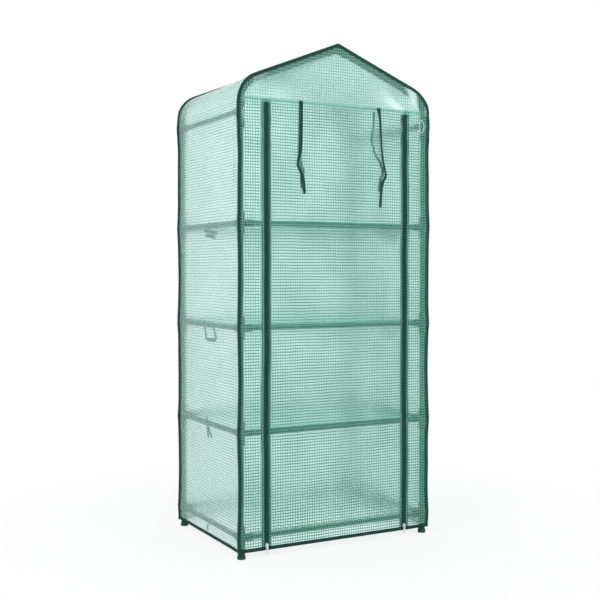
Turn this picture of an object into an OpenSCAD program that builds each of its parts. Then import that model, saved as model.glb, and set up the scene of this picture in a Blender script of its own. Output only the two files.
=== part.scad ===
/* [Cover] */
// Width over the edge bindings
cover_w = 690; // [640:10:760]
// Depth from the zip pulls to the back binding
cover_d = 490; // [460:10:560]
// Height of the ridge above the ground
cover_h = 1580; // [1540:10:1640]
// Height of the hem above the ground
hem_z = 20; // [18:1:24]
// Slope of the roof in degrees
roof_pitch = 22; // [18:1:26]
// Radius of the rounded eaves, over the binding
eave_r = 88; // [80:1:96]
// Thickness of the film
film_t = 0.8; // [0.6:0.1:1]
// Width of the tape that binds the front and back edges
binding_w = 14; // [10:1:18]
// Thickness of that tape
binding_t = 1.2; // [1:0.1:1.4]
// Height of the bound hem
hem_h = 15; // [10:1:20]

/* [Frame] */
// Outer diameter of the tubes
tube_d = 16; // [14:1:18]
// Wall of the tubes
tube_wall = 0.6; // [0.5:0.1:1]
// Outer diameter of the push-fit connectors
hub_d = 21; // [20:0.5:22]
// Reach of a connector's socket from its centre
arm_len = 35; // [30:1:40]
// Height of the lowest shelf's rails
first_rail_z = 63; // [60:1:70]
// Height from one shelf to the next
tier_pitch = 318; // [310:1:322]
// Diameter of a foot where it stands
foot_d = 26; // [24:0.5:26]
// Height of a foot
foot_h = 26; // [22:1:27]

/* [Wire shelves] */
// Diameter of the wires that run from front to back
cross_wire_d = 2.4; // [2:0.1:3]
// Diameter of the wires that run along the shelf
long_wire_d = 3.6; // [3:0.1:4]
// Number of wires from front to back
cross_wires = 21; // [15:1:25]
// Number of wires along the shelf
long_wires = 4; // [3:1:5]

/* [Door] */
// Distance from the middle of the front to each zip
zip_x = 252; // [230:1:260]
// Width of one half of a zip, tape and coil
zip_half_w = 15; // [12:1:18]
// Height of the part above the rolled-up door that stays put
door_top_h = 140; // [130:1:160]
// Number of flat strips that the door rolls up in
slats = 16; // [14:1:16]
// Length of each strip as a share of the one above it
slat_ratio = 0.93; // [0.92:0.005:0.93]
// Gap at each fold line
fold_gap = 2; // [1.8:0.1:2.4]

/* [Straps] */
// Distance from the middle of the front to each tie strap
strap_x = 140; // [120:1:160]
// Width of a tie strap
strap_w = 14; // [10:1:18]
// Length of the upper half of a tie strap
strap_upper_l = 172; // [165:1:185]
// Length of the lower half of a tie strap
strap_lower_l = 128; // [100:1:140]

/* [Hidden] */
$fn = 48;
eps = 0.01;

// Planes of the film, outer faces
half_w = cover_w / 2;
wall_x = half_w - binding_t;
front_stack = 5.7;
front_y = -cover_d / 2 + front_stack;
back_y = cover_d / 2 - binding_t;
inner_front_y = front_y + film_t;
inner_back_y = back_y - film_t;

// Rounded eaves: where the wall ends and the bend begins
bend = 90 - roof_pitch;
arc_x = half_w - eave_r;
eave_z = cover_h - eave_r * cos(roof_pitch) - (arc_x + eave_r * sin(roof_pitch)) * tan(roof_pitch);

// Tube frame
hub_r = hub_d / 2;
ball_r = hub_r + 0.3;
cover_gap = 0.7;
core = 9;
tube_play = 0.1;
socket_d = tube_d + 2 * tube_play;
tube_end = core + 0.5;
post_x = wall_x - film_t - cover_gap - hub_r;
post_y = [inner_front_y + cover_gap + hub_r, inner_back_y - cover_gap - hub_r];
mid_y = (post_y[0] + post_y[1]) / 2;
span_y = post_y[1] - post_y[0];
tiers = 4;
post_l = tier_pitch - 2 * tube_end;
post_top = rail_z(tiers) + tube_end + post_l;
eave_rail_z = post_top + 26;
elbow_r = post_x - arc_x;
bend_tube_r = hub_r - 0.9;
bend_lap = 2;
elbow_x = arc_x + elbow_r * sin(roof_pitch);
elbow_z = eave_z + elbow_r * cos(roof_pitch);
ridge_z = elbow_z + elbow_x * tan(roof_pitch);
rafter_seat = 4;
rafter_start = rafter_seat + 0.5;
rafter_l = elbow_x / cos(roof_pitch) - rafter_start - tube_end;

// Wire shelves lie on the long rails, between the connectors
shelf_x = post_x - arm_len - 8;
shelf_over = 6;
wire_weld = 0.5;
long_wire_in = 18;

// Door
coil_w = 2.4;
coil_t = 1.2;
zip_gap = 1.2;
door_x = zip_x - zip_gap / 2;
fold_y = front_y + film_t / 2;
door_drop = eave_z - door_top_h - hem_z;
first_slat = door_drop * (1 - slat_ratio) / (1 - pow(slat_ratio, slats));

// Zip slider and pull
slider_z = 33;
slider_w = 11;
slider_l = 16;
plate_t = 1.6;
slide_gap = 0.4;
slider_front = front_y - (coil_t - film_t) / 2 - slide_gap;
slider_back = front_y + (coil_t + film_t) / 2 + slide_gap;
pin_y = slider_front - plate_t - 2;
pin_z = 3;
pin_d = 1.4;
pull_l = 28;
pull_t = 1;

// Straps
strap_t = 0.8;
strap_y = front_y - 0.4 - strap_t;
strap_gap = 1;
inner_strap_l = 250;
inner_strap_x = 128;

function rail_z(tier) = first_rail_z + (tier - 1) * tier_pitch;
function fold_z(k) =
    eave_z - door_top_h - first_slat * (1 - pow(slat_ratio, k - 1)) / (1 - slat_ratio);
function slat_name(k) = str("door_slat_", k < 10 ? "0" : "", k);
function side_name(s) = s < 0 ? "left" : "right";

// A flat outline drawn in X and Z, given thickness t from y0 backwards
module upright(y0, t) {
    translate([0, y0 + t, 0])
        rotate([90, 0, 0])
            linear_extrude(t)
                children();
}

// A tube along Z from the origin
module tube(len) {
    difference() {
        cylinder(d = tube_d, h = len);
        translate([0, 0, -1])
            cylinder(d = tube_d - 2 * tube_wall, h = len + 2);
    }
}

// The bore of a socket along Z, from its seat out past its mouth
module socket_bore(seat, mouth) {
    translate([0, 0, seat])
        cylinder(d = socket_d, h = mouth - seat + 1);
}

// Children at the four posts, with the side signs in $sx and $sy
module at_posts() {
    for ($sx = [-1, 1], $sy = [-1, 1])
        translate([$sx * post_x, $sy < 0 ? post_y[0] : post_y[1], 0])
            children();
}

// Children at the four posts, turned so that Z points along the rail to the other side
module toward_x() {
    rotate([0, -$sx * 90, 0])
        children();
}

module toward_y() {
    rotate([$sy * 90, 0, 0])
        children();
}

// Quarter of a round eave, as a wedge of a disc
module eave_wedge(r) {
    intersection() {
        circle(r, $fn = 96);
        polygon([[0, 0], [2 * r, 0], [2 * r, 2 * r], 3 * r * [sin(roof_pitch), cos(roof_pitch)]]);
    }
}

// Right half of the gable above the eave line, set in from the outer edge
module gable_half(inset) {
    r = eave_r - inset;
    translate([arc_x, eave_z])
        eave_wedge(r);
    polygon([
        [0, eave_z],
        [arc_x + r / 4, eave_z],
        [arc_x + r * sin(roof_pitch), eave_z + r * cos(roof_pitch)],
        [0, cover_h - inset / cos(roof_pitch)]
    ]);
}

module gable(inset) {
    gable_half(inset);
    mirror([1, 0])
        gable_half(inset);
}

// The whole end wall from the hem to the ridge
module end_wall(inset) {
    gable(inset);
    translate([-half_w + inset, hem_z])
        square([2 * (half_w - inset), eave_z - hem_z]);
}

module feet() {
    color("#1c4a3f")
        at_posts() {
            difference() {
                union() {
                    cylinder(d = foot_d, h = 5);
                    translate([0, 0, 5])
                        cylinder(d1 = foot_d, d2 = hub_d, h = 11);
                    cylinder(d = hub_d, h = foot_h);
                }
                socket_bore(6, foot_h);
            }
        }
}

module leg_tubes() {
    color("#2f5d50")
        at_posts()
            translate([0, 0, 6.5])
                tube(rail_z(1) - tube_end - 6.5);
}

// Four posts to each tier, all of one length
module posts() {
    color("#2f5d50")
        for (t = [1:tiers])
            at_posts()
                translate([0, 0, rail_z(t) + tube_end])
                    tube(post_l);
}

// Two long rails along X and two short rails along Y
module shelf_rails(t) {
    color("#2f5d50") {
        for (y = post_y)
            translate([-post_x + tube_end, y, rail_z(t)])
                rotate([0, 90, 0])
                    tube(2 * (post_x - tube_end));
        side_rails(rail_z(t));
    }
}

module side_rails(z) {
    for (s = [-1, 1])
        translate([s * post_x, post_y[0] + tube_end, z])
            rotate([-90, 0, 0])
                tube(span_y - 2 * tube_end);
}

// Four-way connectors: up, down and along both rails
module corner_connectors(t) {
    color("#1c4a3f")
        at_posts()
            translate([0, 0, rail_z(t)])
                difference() {
                    union() {
                        cylinder(r = hub_r, h = 2 * arm_len, center = true);
                        toward_x() cylinder(r = hub_r, h = arm_len);
                        toward_y() cylinder(r = hub_r, h = arm_len);
                    }
                    socket_bore(core, arm_len);
                    mirror([0, 0, 1]) socket_bore(core, arm_len);
                    toward_x() socket_bore(core, arm_len);
                    toward_y() socket_bore(core, arm_len);
                }
}

module wire_shelf(t) {
    cross_z = rail_z(t) + tube_d / 2 + cross_wire_d / 2;
    long_z = cross_z - cross_wire_d / 2 - long_wire_d / 2 + wire_weld;
    cross_pitch = 2 * shelf_x / (cross_wires - 1);
    long_start = post_y[0] + long_wire_in;
    long_pitch = (span_y - 2 * long_wire_in) / (long_wires - 1);
    color("#39453f") {
        for (i = [0:cross_wires - 1])
            translate([-shelf_x + i * cross_pitch, post_y[0] - shelf_over, cross_z])
                rotate([-90, 0, 0])
                    cylinder(d = cross_wire_d, h = span_y + 2 * shelf_over, $fn = 24);
        for (i = [0:long_wires - 1])
            translate([-shelf_x - 3, long_start + i * long_pitch, long_z])
                rotate([0, 90, 0])
                    cylinder(d = long_wire_d, h = 2 * shelf_x + 6, $fn = 24);
    }
}

// Bent connectors from each post into its rafter, with a socket for the eave rail
module eave_connectors() {
    color("#1c4a3f")
        at_posts()
            difference() {
                union() {
                    translate([0, 0, post_top - 26])
                        cylinder(r = hub_r, h = eave_z - post_top + 26);
                    translate([-$sx * elbow_r, 0, eave_z])
                        mirror([$sx < 0 ? 1 : 0, 0, 0])
                            rotate([90, 0, 0])
                                rotate([0, 0, -bend_lap])
                                    rotate_extrude(angle = bend + 2 * bend_lap)
                                        translate([elbow_r, 0])
                                            circle(bend_tube_r);
                    toward_rafter() cylinder(r = hub_r, h = rafter_seat + 26);
                    translate([0, 0, eave_rail_z])
                        toward_y() cylinder(r = hub_r, h = arm_len);
                }
                translate([0, 0, post_top + 0.5])
                    mirror([0, 0, 1]) socket_bore(0, 27);
                toward_rafter() socket_bore(rafter_seat, rafter_seat + 26);
                translate([0, 0, eave_rail_z])
                    toward_y() socket_bore(core, arm_len);
            }
}

// From a post's axis to the end of its bend, with Z up the rafter
module toward_rafter() {
    translate([$sx * (elbow_x - post_x), 0, elbow_z])
        rotate([0, -$sx * bend, 0])
            children();
}

module eave_rails() {
    color("#2f5d50")
        side_rails(eave_rail_z);
}

module rafters() {
    color("#2f5d50")
        at_posts()
            toward_rafter()
                translate([0, 0, rafter_start])
                    tube(rafter_l);
}

module ridge_tube() {
    color("#2f5d50")
        translate([0, post_y[0] + tube_end, ridge_z])
            rotate([-90, 0, 0])
                tube(span_y - 2 * tube_end);
}

module ridge_connectors() {
    color("#1c4a3f")
        for ($sy = [-1, 1])
            translate([0, $sy < 0 ? post_y[0] : post_y[1], ridge_z])
                difference() {
                    union() {
                        sphere(r = ball_r);
                        for (s = [-1, 1])
                            rotate([0, s * (90 + roof_pitch), 0]) cylinder(r = hub_r, h = arm_len);
                        toward_y() cylinder(r = hub_r, h = arm_len);
                    }
                    for (s = [-1, 1])
                        rotate([0, s * (90 + roof_pitch), 0]) socket_bore(core, arm_len);
                    toward_y() socket_bore(core, arm_len);
                }
}

module side_panel(s) {
    color("#a9dccb")
        translate([s < 0 ? -wall_x : wall_x - film_t, inner_front_y, hem_z])
            cube([film_t, inner_back_y - inner_front_y, eave_z - hem_z]);
}

// Round eave and slope in one sheet
module roof_panel(s) {
    color("#a9dccb")
        mirror([s < 0 ? 1 : 0, 0, 0])
            upright(inner_front_y, inner_back_y - inner_front_y)
                difference() {
                    gable_half(binding_t);
                    gable_half(binding_t + film_t);
                }
}

module back_panel() {
    color("#a9dccb")
        upright(inner_back_y, film_t)
            end_wall(binding_t);
}

module front_gable() {
    color("#a9dccb")
        upright(front_y, film_t)
            gable(binding_t);
}

module front_strip(s) {
    color("#a9dccb")
        mirror([s < 0 ? 1 : 0, 0, 0])
            upright(front_y, film_t)
                translate([zip_x + zip_half_w, hem_z])
                    square([wall_x - zip_x - zip_half_w, eave_z - hem_z]);
}

// Tape along the edge of an end wall, up one side, over the ridge and down the other
module edge_band() {
    difference() {
        end_wall(0);
        end_wall(binding_w);
    }
}

module front_binding() {
    color("#1f5044")
        upright(front_y - binding_t, binding_t)
            edge_band();
}

module back_binding() {
    color("#1f5044")
        upright(back_y, binding_t)
            edge_band();
}

// Folded tape round the bottom of the fixed walls
module hem_binding() {
    strip_in = zip_x + zip_half_w;
    strip_w = half_w - binding_w - strip_in;
    hem_t = film_t;
    color("#1f5044") {
        for (s = [-1, 1]) {
            translate([s < 0 ? -wall_x - hem_t : wall_x, inner_front_y, hem_z])
                cube([hem_t, inner_back_y - inner_front_y, hem_h]);
            translate([s < 0 ? -strip_in - strip_w : strip_in, front_y - hem_t, hem_z])
                cube([strip_w, hem_t, hem_h]);
        }
        translate([-half_w + binding_w, back_y, hem_z])
            cube([2 * (half_w - binding_w), hem_t, hem_h]);
    }
}

// One half of a zip from x0 outwards: coil first, then the tape
module zip_half(x0, dir, z0, len) {
    translate([dir < 0 ? x0 - coil_w : x0, fold_y - coil_t / 2, z0])
        cube([coil_w, coil_t, len]);
    translate([dir < 0 ? x0 - zip_half_w + zip_gap / 2 : x0, front_y, z0])
        cube([zip_half_w - zip_gap / 2, film_t, len]);
}

module zip_tracks() {
    color("#28594d")
        for (s = [-1, 1])
            zip_half(s * (zip_x + zip_gap / 2), s, hem_z, eave_z - hem_z);
}

// A strip of the door with its two zip halves, from z0 up
module door_strip(z0, len) {
    translate([-door_x, front_y, z0])
        cube([2 * door_x, film_t, len]);
    for (s = [-1, 1])
        translate([s < 0 ? -door_x : door_x - coil_w, fold_y - coil_t / 2, z0])
            cube([coil_w, coil_t, len]);
}

module door_top() {
    color("#b9e6d6")
        door_strip(eave_z - door_top_h + fold_gap / 2, door_top_h - fold_gap / 2);
}

module door_slat(k) {
    low = k == slats ? hem_z : fold_z(k + 1) + fold_gap / 2;
    color("#b9e6d6") {
        door_strip(low, fold_z(k) - fold_gap / 2 - low);
        if (k == slats)
            translate([-door_x + coil_w, fold_y - coil_t / 2, hem_z])
                cube([2 * (door_x - coil_w), coil_t, hem_h]);
    }
}

// Slider: front and back plates joined through the gap between the zip halves
module zip_slider(s) {
    lug_w = 1.2;
    lug_in = 2.6;
    color("#c9ccce")
        translate([s * zip_x, 0, slider_z]) {
            upright(slider_front - plate_t, plate_t)
                slider_outline(slider_w);
            upright(slider_back, plate_t - 0.4)
                slider_outline(slider_w - 1);
            translate([-0.25, slider_front - eps, -4])
                cube([0.5, slider_back - slider_front + 2 * eps, 8]);
            for (x = [-lug_in - lug_w, lug_in])
                translate([x, 0, pin_z]) {
                    translate([0, pin_y, 0])
                        rotate([0, 90, 0])
                            cylinder(r = 1.5, h = lug_w, $fn = 24);
                    translate([0, pin_y, -1.5])
                        cube([lug_w, slider_front - plate_t - pin_y + eps, 3]);
                }
            translate([-lug_in - eps, pin_y, pin_z])
                rotate([0, 90, 0])
                    cylinder(d = pin_d, h = 2 * (lug_in + eps), $fn = 24);
        }
}

module slider_outline(w) {
    translate([-w / 2, -slider_l / 2 + 3])
        square([w, slider_l - 6]);
    translate([-w / 2 + 2, -slider_l / 2])
        square([w - 4, slider_l]);
}

// Pull tab hanging from the pin, with a finger hole
module zip_pull(s) {
    eye_w = 4.4;
    eye_d = 3;
    tab_w = 6.5;
    color("#d4d6d8")
        translate([s * zip_x, 0, slider_z + pin_z])
            difference() {
                union() {
                    translate([-eye_w / 2, pin_y, 0])
                        rotate([0, 90, 0])
                            cylinder(d = eye_d, h = eye_w, $fn = 24);
                    upright(pin_y - pull_t / 2, pull_t) {
                        translate([-eye_w / 2, -8])
                            square([eye_w, 8]);
                        translate([-tab_w / 2, -pull_l + tab_w / 2])
                            square([tab_w, pull_l - 6 - tab_w / 2]);
                        translate([0, -pull_l + tab_w / 2])
                            circle(d = tab_w);
                    }
                }
                translate([-eye_w, pin_y, 0])
                    rotate([0, 90, 0])
                        cylinder(d = pin_d + 0.2, h = 2 * eye_w, $fn = 24);
                translate([0, pin_y - pull_t, -pull_l + tab_w / 2])
                    rotate([-90, 0, 0])
                        cylinder(d = 3.4, h = 2 * pull_t, $fn = 24);
            }
}

// Webbing that ties the rolled door, in two halves that fold over the roll
module strap_upper(s) {
    color("#1f5044")
        translate([s * strap_x - strap_w / 2, strap_y, eave_z - strap_upper_l + strap_gap / 2])
            cube([strap_w, strap_t, strap_upper_l - strap_gap]);
}

module strap_lower(s) {
    color("#1f5044")
        translate([s * strap_x - strap_w / 2, strap_y, eave_z - strap_upper_l - strap_lower_l])
            cube([strap_w, strap_t, strap_lower_l - strap_gap / 2]);
}

// Webbing inside the door, sewn to its fixed top
module inner_straps() {
    pad_h = 12;
    hang = 0.8;
    color("#1f5044")
        for (s = [-1, 1])
            translate([s * inner_strap_x - strap_w / 2, inner_front_y, 0]) {
                translate([0, hang, eave_z - inner_strap_l])
                    cube([strap_w, strap_t, inner_strap_l]);
                translate([0, 0, eave_z - pad_h])
                    cube([strap_w, hang + eps, pad_h]);
            }
}

// Tapes that tie the side walls to the middle of each side rail
module cover_ties() {
    tie_w = 14;
    tie_t = 0.9;
    tie_in = tube_d / 2 + tube_play;
    color("#1f5044")
        for (s = [-1, 1], t = [1:tiers])
            translate([s * post_x, mid_y - tie_w / 2, rail_z(t)]) {
                rotate([-90, 0, 0])
                    difference() {
                        cylinder(r = tie_in + tie_t, h = tie_w);
                        translate([0, 0, -1])
                            cylinder(r = tie_in, h = tie_w + 2);
                    }
                translate([s < 0 ? post_x - wall_x + film_t : tie_in + tie_t / 2, 0, -tie_w / 2])
                    cube([wall_x - film_t - post_x - tie_in - tie_t / 2, tie_w, tie_w]);
            }
}

// White loops that hold the front corners of the cover to the bent connectors
module corner_ties() {
    loop_h = 12;
    color("white")
        for (s = [-1, 1])
            translate([s * post_x, post_y[0], post_top - 20])
                difference() {
                    cylinder(r = hub_r + cover_gap - 0.1, h = loop_h);
                    translate([0, 0, -1])
                        cylinder(r = hub_r + 0.05, h = loop_h + 2);
                }
}

feet();
leg_tubes();
posts();
for (t = [1:tiers]) {
    shelf_rails(t);
    corner_connectors(t);
    wire_shelf(t);
}
eave_connectors();
eave_rails();
rafters();
ridge_tube();
ridge_connectors();
for (s = [-1, 1]) {
    side_panel(s);
    roof_panel(s);
    front_strip(s);
    zip_slider(s);
    zip_pull(s);
    strap_upper(s);
    strap_lower(s);
}
back_panel();
front_gable();
front_binding();
back_binding();
hem_binding();
zip_tracks();
inner_straps();
cover_ties();
corner_ties();
door_top();
for (k = [1:slats])
    door_slat(k);
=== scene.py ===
import bpy
import bmesh
from math import atan2, cos, exp, pi, radians, sin, sqrt, tan
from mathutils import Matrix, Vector, noise


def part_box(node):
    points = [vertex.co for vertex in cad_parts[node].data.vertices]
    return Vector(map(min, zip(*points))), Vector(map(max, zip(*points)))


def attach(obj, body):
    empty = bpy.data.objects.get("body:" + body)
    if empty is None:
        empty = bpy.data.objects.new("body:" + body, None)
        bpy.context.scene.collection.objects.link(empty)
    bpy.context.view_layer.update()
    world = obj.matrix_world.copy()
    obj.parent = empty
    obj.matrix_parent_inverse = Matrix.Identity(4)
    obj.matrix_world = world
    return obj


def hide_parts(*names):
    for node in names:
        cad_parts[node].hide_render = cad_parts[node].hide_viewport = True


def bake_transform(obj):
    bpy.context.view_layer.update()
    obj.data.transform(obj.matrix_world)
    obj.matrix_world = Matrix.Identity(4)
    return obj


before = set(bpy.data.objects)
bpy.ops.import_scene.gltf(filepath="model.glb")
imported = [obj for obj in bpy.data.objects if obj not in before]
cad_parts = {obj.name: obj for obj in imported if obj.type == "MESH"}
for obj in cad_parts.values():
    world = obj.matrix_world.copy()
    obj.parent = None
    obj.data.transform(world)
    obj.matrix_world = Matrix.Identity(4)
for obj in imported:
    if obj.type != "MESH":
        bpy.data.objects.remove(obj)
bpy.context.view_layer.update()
scene = bpy.context.scene
print("frame loaded:", len(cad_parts), "parts")

# camera, fitted to the corners of the cover in the photograph
cameraSetup = {
    "place": (-1.6107, -2.9613, 0.8700),
    "turn": -28.440,    # degrees, from straight on
    "tilt": -1.624,     # degrees, below level
    "lens": 60.152,     # mm on a 36 mm sensor
}
cameraData = bpy.data.cameras.new("camera")
cameraData.sensor_width = 36
cameraData.lens = cameraSetup["lens"]
camera = bpy.data.objects.new("camera", cameraData)
camera.location = cameraSetup["place"]
camera.rotation_euler = (radians(90 + cameraSetup["tilt"]), 0, radians(cameraSetup["turn"]))
scene.collection.objects.link(camera)
scene.camera = camera
scene.view_settings.view_transform = "Standard"
scene.cycles.transparent_max_bounces = 160    # the rolled door is many layers of film
scene.cycles.transmission_bounces = 40
scene.cycles.max_bounces = 48


class Wire:    # one output socket, so that shader maths reads as plain sums
    def __init__(self, finish, socket):
        self.finish = finish
        self.socket = socket

    def maths(self, operation, *values):
        return self.finish.add("ShaderNodeMath", {"operation": operation}, dict(enumerate(values)))

    def __add__(self, other):
        return self.maths("ADD", self, other)

    def __radd__(self, other):
        return self.maths("ADD", other, self)

    def __sub__(self, other):
        return self.maths("SUBTRACT", self, other)

    def __rsub__(self, other):
        return self.maths("SUBTRACT", other, self)

    def __mul__(self, other):
        return self.maths("MULTIPLY", self, other)

    def __rmul__(self, other):
        return self.maths("MULTIPLY", other, self)

    def __abs__(self):
        return self.maths("ABSOLUTE", self)


class Finish:    # nodes of a material, or of the world, under construction
    def __init__(self, name, kind=bpy.data.materials):
        self.material = kind.new(name)
        self.material.use_nodes = True
        self.tree = self.material.node_tree
        self.tree.nodes.clear()

    def add(self, kind, settings=None, sockets=None, out=0):
        node = self.tree.nodes.new(kind)
        for key, value in (settings or {}).items():
            setattr(node, key, value)
        for key, value in (sockets or {}).items():
            if isinstance(value, Wire):
                self.tree.links.new(value.socket, node.inputs[key])
            else:
                node.inputs[key].default_value = value
        return Wire(self, node.outputs[out]) if len(node.outputs) else None

    # the two cloth coordinates, and both as one vector
    def clothPlace(self):
        uv = self.add("ShaderNodeUVMap", {"uv_map": "cloth"})
        first, second = [self.add("ShaderNodeSeparateXYZ", {}, {0: uv}, out) for out in (0, 1)]
        return first, second, uv

    def solidPlace(self):
        return self.add("ShaderNodeTexCoord", {}, {}, "Object")

    def mixed(self, share, first, second):
        sockets = {0: share, 6: colour(first), 7: colour(second)}    # 6 and 7 are its colours
        return self.add("ShaderNodeMix", {"data_type": "RGBA"}, sockets, 2)

    def ramped(self, value, low, high, first=0.0, second=1.0):
        return self.add("ShaderNodeMapRange", {"interpolation_type": "SMOOTHSTEP"},
                        {0: value, 1: low, 2: high, 3: first, 4: second})

    def speckle(self, place, scale, detail=3.0):
        sockets = {"Vector": place, "Scale": scale, "Detail": detail, "Roughness": 0.6}
        return self.add("ShaderNodeTexNoise", {}, sockets, "Fac")

    # 1 on lines that lie a pitch apart, 0 between them
    def lines(self, along, pitch, width, soft=0.0004):
        away = along.maths("PINGPONG", along, pitch / 2)
        return self.ramped(away, width / 2 - soft, width / 2 + soft, 1.0, 0.0)

    def bump(self, height, distance):
        return self.add("ShaderNodeBump", {}, {"Height": height, "Distance": distance, "Strength": 1.0})

    # painted highlight: pale streaks where the film is folded, fanning out from the eave connectors,
    # stronger on the right
    def creaseHighlights(self, across, up):
        inward = foldLook["spot"][0] - abs(across)
        above = up - foldLook["spot"][1]
        reach = inward.maths("SQRT", inward * inward + above * above)
        steep = inward.maths("ARCTAN2", above, inward)
        sideShift = foldLook["shift"] * across.maths("SIGN", across)
        crest = steep.maths("SINE", steep * foldLook["waves"] + sideShift)
        near = self.ramped(reach, *foldLook["highlightFrom"]) * self.ramped(reach, *foldLook["paleTo"], 1.0, 0.0)
        rightMore = self.ramped(across, -0.2, 0.2, foldLook["leftHighlightShare"], 1.0)
        return self.ramped(crest, -0.3, 1.0, 0.0, foldLook["pale"]) * near * rightMore

    def blended(self, share, first, second):
        return self.add("ShaderNodeMixShader", {}, {0: share, 1: first, 2: second})

    # 1 for rays that show what they meet, 0 for those that only light things
    def seen(self):
        rays = [self.add("ShaderNodeLightPath", {}, {}, "Is %s Ray" % kind)
                for kind in ("Camera", "Glossy", "Transmission")]
        return rays[0].maths("MAXIMUM", rays[0].maths("MAXIMUM", rays[0], rays[1]), rays[2])

    def shade(self, sockets):
        return self.close(self.add("ShaderNodeBsdfPrincipled", {}, sockets))

    def close(self, surface, output="ShaderNodeOutputMaterial"):
        self.add(output, {}, {"Surface": surface})
        return self.material


def colour(value):
    return value if isinstance(value, Wire) else (*value, 1)


# folds that fan out from the spots where the eave connectors push at the gable, with painted highlight
# streaks along them
foldLook = {
    "spot": (0.318, 1.345),        # metres across and up
    "waves": 9.0,                  # folds in a full turn round the spot
    "shift": 3.0,                  # radians that the two sides are out of step
    "highlightFrom": (0.02, 0.10),      # metres from the spot, where the painted highlight streaks come in
    "paleTo": (0.10, 0.27),        # and where they fade
    "standFrom": (0.02, 0.06),     # the same for how far the folds stand up
    "standTo": (0.10, 0.24),
    "leftHighlightShare": 0.25,             # how strong the painted highlight streaks on the left are beside those on the right
    "pale": 0.5,
}

# film of the cover: a woven grid of green threads, with clear cells that blur what stands far behind them
filmLook = {
    "sheet": (0.62, 0.94, 0.84),
    "thread": (0.08, 0.31, 0.24),
    "pitch": (0.0085, 0.0089),     # metres between threads, across and up
    "widths": (0.0022, 0.0030),    # metres, of the threads that run up and those that run across
    "strengths": (1.0, 1.0),       # how plain the two sets of threads are
    "wander": 0.005,               # how far a thread strays from its line, metres
    "cellCover": 0.005,            # share of each face of the film that is not clear
    "threadCover": 0.82,
    "clear": (0.910, 1.0, 0.975),
    "milky": 0.94,                 # share of a cell that blurs what is behind it, the rest is open
    "glossy": False,
    "haze": 0.272,
    "bend": 1.5,
    "lampTint": (0.86, 0.96, 0.93),
    "roughness": 0.4,
    "scales": (7.0, 160.0, 11.0),  # of the cloudiness, the fibres and the wandering
}


def filmFinish(name, **changes):
    look = {**filmLook, **changes}
    finish = Finish(name)
    across, up, place = finish.clothPlace()
    cloudy = finish.speckle(place, look["scales"][0])
    fibre = finish.speckle(place, look["scales"][1], 2.0)
    stray = look["wander"] * (finish.speckle(place, look["scales"][2], 1.0) - 0.5)
    warp, weft = [finish.lines(along + stray, pitch, width) * strength for along, pitch, width, strength
                  in zip((across, up), look["pitch"], look["widths"], look["strengths"])]
    loose = finish.ramped(cloudy, 0.35, 0.65, 0.8, 1.0)
    threads = warp.maths("MAXIMUM", warp, weft) * (0.8 + 0.4 * fibre) * loose
    cover = look["cellCover"] * (0.8 + 0.4 * cloudy) + threads * (look["threadCover"] - look["cellCover"])
    sheet = finish.mixed(cloudy, [0.9 * c for c in look["sheet"]], look["sheet"])
    tint = finish.mixed(threads, sheet, look["thread"])
    # painted highlight: pale streaks along the gable folds, mixed into the colour and the cover
    if "creaseHighlight" in look:
        pale = finish.creaseHighlights(across, up)
        cover = cover + pale * (1 - cover)
        tint = finish.mixed(pale, tint, look["creaseHighlight"])
    solid = finish.add("ShaderNodeBsdfPrincipled", {}, {
        "Base Color": tint,
        "Roughness": look["roughness"] + 0.16 * fibre,
        "Normal": finish.bump(threads, 0.0003),
        "Specular IOR Level": 0.3,
    })
    opened = finish.add("ShaderNodeBsdfTransparent", {}, {"Color": colour(look["clear"])})
    kind, scatter = ("Glass", "MULTI_GGX") if look["glossy"] else ("Refraction", "GGX")
    blurred = finish.add("ShaderNodeBsdf" + kind, {"distribution": scatter}, {
        "Color": colour(look["clear"]), "Roughness": look["haze"], "IOR": look["bend"]})
    film = finish.blended(cover, finish.blended(look["milky"], opened, blurred), solid)
    # lamps shine straight in
    lampRay = finish.add("ShaderNodeLightPath", {}, {}, "Is Shadow Ray")
    passing = finish.add("ShaderNodeBsdfTransparent", {}, {"Color": colour(look["lampTint"])})
    return finish.close(finish.blended(lampRay, film, passing))


# side walls and back wall: the same film as the door, with paler, weaker threads, a whiter clear tint and
# more cover, painted light for the brighter light and sheen on them
litWallLook = {
    "widths": (0.0016, 0.0026),
    "strengths": (0.7, 1.0),
    "thread": (0.20, 0.50, 0.415),
    "threadCover": 0.35,
    "clear": (0.950, 1.0, 0.992),
    "cellCover": 0.025,
    "glossy": True,
    "bend": 1.30,
}
# roof: a lighter copy still, with weaker threads and more cover, painted light for its bright look seen at a
# grazing angle
litRoofLook = {
    **litWallLook,
    "widths": (0.0016, 0.0022),
    "strengths": (0.4, 0.6),
    "threadCover": 0.40,
    "cellCover": 0.08,
    "bend": 1.25,
}
gableLook = {
    "widths": (0.0018, 0.0020),
    "strengths": (0.68, 0.68),
    "clear": (0.914, 1.0, 0.982),
    "cellCover": 0.02,
    # colour of the painted highlight streaks at the folds
    "creaseHighlight": (0.93, 1.0, 0.98),
}
seamLook = {
    "widths": (0.0020, 0.0022),
    "strengths": (0.5, 0.5),
    "sheet": (0.16, 0.50, 0.38),
    "cellCover": 0.22,
}
wallFilm = filmFinish("wall_film", **litWallLook)
roofFilm = filmFinish("roof_film", **litRoofLook)
doorFilm = filmFinish("door_film")
gableFilm = filmFinish("gable_film", **gableLook)
seamFilm = filmFinish("seam_film", **seamLook)

# sewn tapes and webbing: a ribbed weave with rows of stitches
tapeLook = {
    "dark": (0.002, 0.030, 0.020),
    "light": (0.008, 0.064, 0.045),
    "stitch": (0.05, 0.20, 0.15),
    "rows": (0.0027, 0.0140),      # metres across the tape, where the stitches run
    "stitchPitch": 0.0045,
    "stitchWidth": 0.0007,
    "stitchShare": 0.62,           # of the pitch, the rest is a gap
    "weave": 0.0011,               # metres between the ribs of the weave
}


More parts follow.
